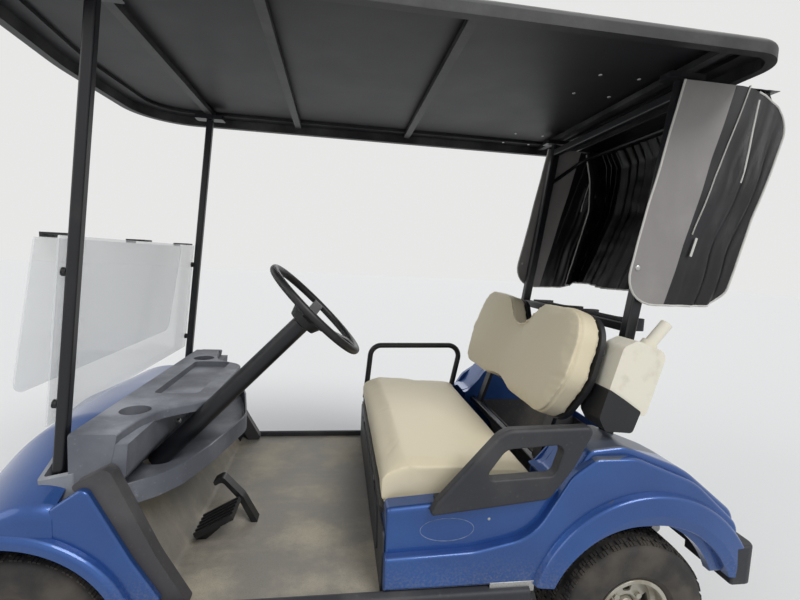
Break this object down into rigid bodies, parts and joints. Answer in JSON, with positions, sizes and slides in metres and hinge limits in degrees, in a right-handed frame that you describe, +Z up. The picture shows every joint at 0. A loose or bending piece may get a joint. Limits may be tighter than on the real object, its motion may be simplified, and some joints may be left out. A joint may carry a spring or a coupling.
{
  "type": "golf cart",
  "caption": "Two-seat golf cart with open sides, hard roof on posts, folding windscreen, bench seat, bag well and bag cover; it steers, its wheels spin and its seat lifts.",
  "frame": {"origin": "on the ground, midway between the front bumper and the back of the bag cover, on the centre line", "axes": "+X forward, +Y to the driver's left side, +Z up"},
  "size_m": [2.518, 1.204, 1.8489],
  "materials": {
    "tyre": "dull",
    "rim_paint": "satin",
    "chassis_black": "satin",
    "spring_steel": "dull",
    "engine_grey": "cast",
    "floor_mat": "dusty",
    "trim_dark": "textured",
    "body_blue": "metallic paint",
    "dash_dark": "textured",
    "socket_grey": "dull",
    "post_black": "satin",
    "tray_grey": "textured",
    "seat_vinyl": "grained",
    "seat_shell": "textured",
    "grip_black": "satin",
    "roof_black": "satin, pale dusty rim",
    "clear_sheet": "clear, hazed",
    "cover_vinyl": "coated cloth",
    "bottle_ivory": "satin"
  },
  "bodies": {
    "chassis": {"front_axle_beam": "chassis_black", "front_springs": "spring_steel", "frame_rails": "chassis_black", "rear_axle": "chassis_black", "rear_springs": "spring_steel", "engine_block": "engine_grey", "steering_rack": "chassis_black", "floor_pan": "floor_mat", "rockers": "trim_dark", "front_cowl": "body_blue", "front_bumper": "trim_dark", "dash": "dash_dark", "door_trims": "dash_dark", "strut_sockets": "socket_grey", "front_posts": "post_black", "rear_body": "body_blue", "rear_bumper": "trim_dark", "bag_well": "tray_grey", "seat_apron": "trim_dark", "seat_back": "seat_vinyl", "seat_back_shell": "seat_shell", "seat_brackets": "post_black", "hip_restraint": "trim_dark", "hold_bar": "post_black", "steering_column": "post_black", "pedals": "grip_black", "rear_frame": "post_black", "roof": "roof_black", "roof_rails": "post_black", "windscreen_lower": "clear_sheet", "windscreen_upper": "clear_sheet", "windscreen_fittings": "grip_black", "cover_sides": "cover_vinyl", "cover_bundle": "cover_vinyl", "cover_bow": "post_black", "bag_rack": "trim_dark", "sand_bottle": "bottle_ivory", "bottle_holder": "trim_dark"},
    "steering_wheel": {"steering_wheel": "grip_black"},
    "knuckle_left": {"knuckle_left": "chassis_black"},
    "knuckle_right": {"knuckle_right": "chassis_black"},
    "wheel_front_left": {"tyre_front_left": "tyre", "rim_front_left": "rim_paint"},
    "wheel_front_right": {"tyre_front_right": "tyre", "rim_front_right": "rim_paint"},
    "wheel_rear_left": {"tyre_rear_left": "tyre", "rim_rear_left": "rim_paint"},
    "wheel_rear_right": {"tyre_rear_right": "tyre", "rim_rear_right": "rim_paint"},
    "tie_rods": {"tie_rods": "spring_steel"},
    "seat_lid": {"seat_pan": "seat_shell", "seat_cushion": "seat_vinyl"}
  },
  "joints": [
    {"name": "steering_turn", "type": "hinge", "parent": "chassis", "child": "steering_wheel", "pos_m": [0.2081, 0.25, 1.0126], "axis": [-0.6947, 0, 0.7193], "range_deg": [-270, 270]},
    {"name": "kingpin_left", "type": "hinge", "parent": "chassis", "child": "knuckle_left", "pos_m": [0.876, 0.36, 0.228], "axis": [0, 0, 1], "range_deg": [-30.1, 30.1]},
    {"name": "kingpin_right", "type": "hinge", "parent": "chassis", "child": "knuckle_right", "pos_m": [0.876, -0.36, 0.228], "axis": [0, 0, 1], "range_deg": [-30.1, 30.1]},
    {"name": "rack_slide", "type": "slide", "parent": "chassis", "child": "tie_rods", "axis": [0, 1, 0], "range_m": [-0.0527, 0.0527]},
    {"name": "spin_front_left", "type": "hinge", "parent": "knuckle_left", "child": "wheel_front_left", "pos_m": [0.876, 0.435, 0.228], "axis": [0, 1, 0], "continuous": true},
    {"name": "spin_front_right", "type": "hinge", "parent": "knuckle_right", "child": "wheel_front_right", "pos_m": [0.876, -0.435, 0.228], "axis": [0, 1, 0], "continuous": true},
    {"name": "spin_rear_left", "type": "hinge", "parent": "chassis", "child": "wheel_rear_left", "pos_m": [-0.769, 0.49, 0.228], "axis": [0, 1, 0], "continuous": true},
    {"name": "spin_rear_right", "type": "hinge", "parent": "chassis", "child": "wheel_rear_right", "pos_m": [-0.769, -0.49, 0.228], "axis": [0, 1, 0], "continuous": true},
    {"name": "seat_lift", "type": "hinge", "parent": "chassis", "child": "seat_lid", "pos_m": [-0.037, 0, 0.493], "axis": [0, 1, 0], "range_deg": [0, 68]}
  ],
  "couplings": [
    {"joint": "kingpin_left", "follows": "steering_turn", "ratio": 0.11111},
    {"joint": "kingpin_right", "follows": "steering_turn", "ratio": 0.11111},
    {"joint": "rack_slide", "follows": "steering_turn", "m_per_rad": -0.01114}
  ]
}
